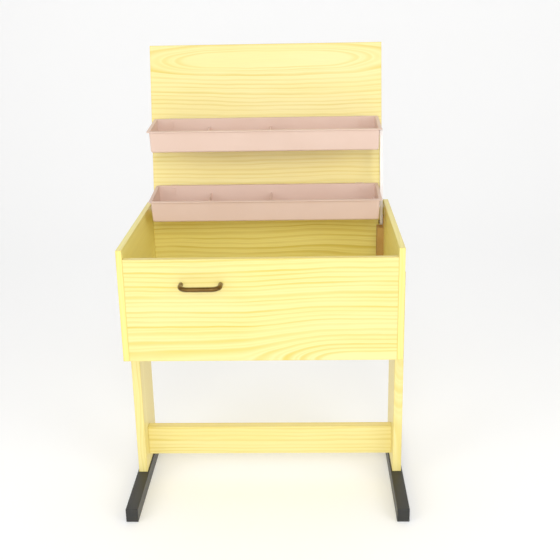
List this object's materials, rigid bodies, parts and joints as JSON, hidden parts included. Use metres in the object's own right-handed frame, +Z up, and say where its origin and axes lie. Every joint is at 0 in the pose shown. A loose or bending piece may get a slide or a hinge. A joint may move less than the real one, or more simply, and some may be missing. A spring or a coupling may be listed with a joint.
{
  "type": "sewing box with trays",
  "caption": "Lidded pine-pattern sewing box on a sled-foot stand; two divided trays ride up level with the hinged lid on a control arm.",
  "frame": {"origin": "centre of the bounding box at floor level, with the lid open", "axes": "+X to the right seen from the front, -Y to the front (handle side), +Z up"},
  "size_m": [0.498, 0.4105, 0.7932],
  "materials": {
    "pine_board": "satin pale yellow pine pattern on thin board",
    "tray_plastic": "matt moulded pinkish beige",
    "black_runner": "satin near-black lacquer",
    "bronze_handle": "dark antique bronze, polished",
    "zinc_steel": "bright zinc plate",
    "brown_rail": "satin tan-brown paint",
    "beech_dowel": "raw fluted beech"
  },
  "bodies": {
    "stand_and_box": {"arm_pivot_stud": "zinc_steel", "arm_rail": "brown_rail", "back_dowels": "beech_dowel", "back_panel": "pine_board", "bottom_panel": "pine_board", "foot_left": "black_runner", "foot_right": "black_runner", "foot_screws_left": "zinc_steel", "foot_screws_right": "zinc_steel", "front_dowels": "beech_dowel", "front_panel": "pine_board", "handle": "bronze_handle", "handle_screws": "zinc_steel", "hinge_left_box_leaf": "zinc_steel", "hinge_left_pin": "zinc_steel", "hinge_right_box_leaf": "zinc_steel", "hinge_right_pin": "zinc_steel", "hinge_screws_box": "zinc_steel", "leg_left": "pine_board", "leg_right": "pine_board", "leg_screws_left": "zinc_steel", "leg_screws_right": "zinc_steel", "rail_screws": "zinc_steel", "side_panel_left": "pine_board", "side_panel_right": "pine_board", "stretcher": "pine_board", "stretcher_screws_left": "zinc_steel", "stretcher_screws_right": "zinc_steel"},
    "lid": {"bracket_screws": "zinc_steel", "hinge_left_lid_leaf": "zinc_steel", "hinge_right_lid_leaf": "zinc_steel", "hinge_screws_lid": "zinc_steel", "lid": "pine_board", "tray_lower_bracket_left": "zinc_steel", "tray_lower_bracket_right": "zinc_steel", "tray_lower_pins": "zinc_steel", "tray_upper_bracket_left": "zinc_steel", "tray_upper_bracket_right": "zinc_steel", "tray_upper_pins": "zinc_steel"},
    "tray_lower": {"tray_lower": "tray_plastic", "tray_lower_arm_screw": "zinc_steel"},
    "tray_upper": {"tray_upper": "tray_plastic", "tray_upper_arm_screw": "zinc_steel"},
    "control_arm": {"control_arm": "zinc_steel"}
  },
  "joints": [
    {"name": "lid_hinge", "type": "hinge", "parent": "stand_and_box", "child": "lid", "pos_m": [0, 0.13166, 0.49], "axis": [1, 0, 0], "range_deg": [0, 101]},
    {"name": "tray_lower_pivot", "type": "hinge", "parent": "lid", "child": "tray_lower", "pos_m": [0, 0.1321, 0.53423], "axis": [1, 0, 0], "range_deg": [-101, 0]},
    {"name": "tray_upper_pivot", "type": "hinge", "parent": "lid", "child": "tray_upper", "pos_m": [0, 0.15605, 0.65742], "axis": [1, 0, 0], "range_deg": [-101, 0]},
    {"name": "control_arm_pivot", "type": "hinge", "parent": "stand_and_box", "child": "control_arm", "pos_m": [0, 0.10566, 0.467], "axis": [1, 0, 0], "range_deg": [0, 101]}
  ],
  "couplings": [
    {"joint": "tray_lower_pivot", "follows": "lid_hinge", "ratio": -1},
    {"joint": "tray_upper_pivot", "follows": "lid_hinge", "ratio": -1},
    {"joint": "control_arm_pivot", "follows": "lid_hinge", "ratio": 1}
  ]
}
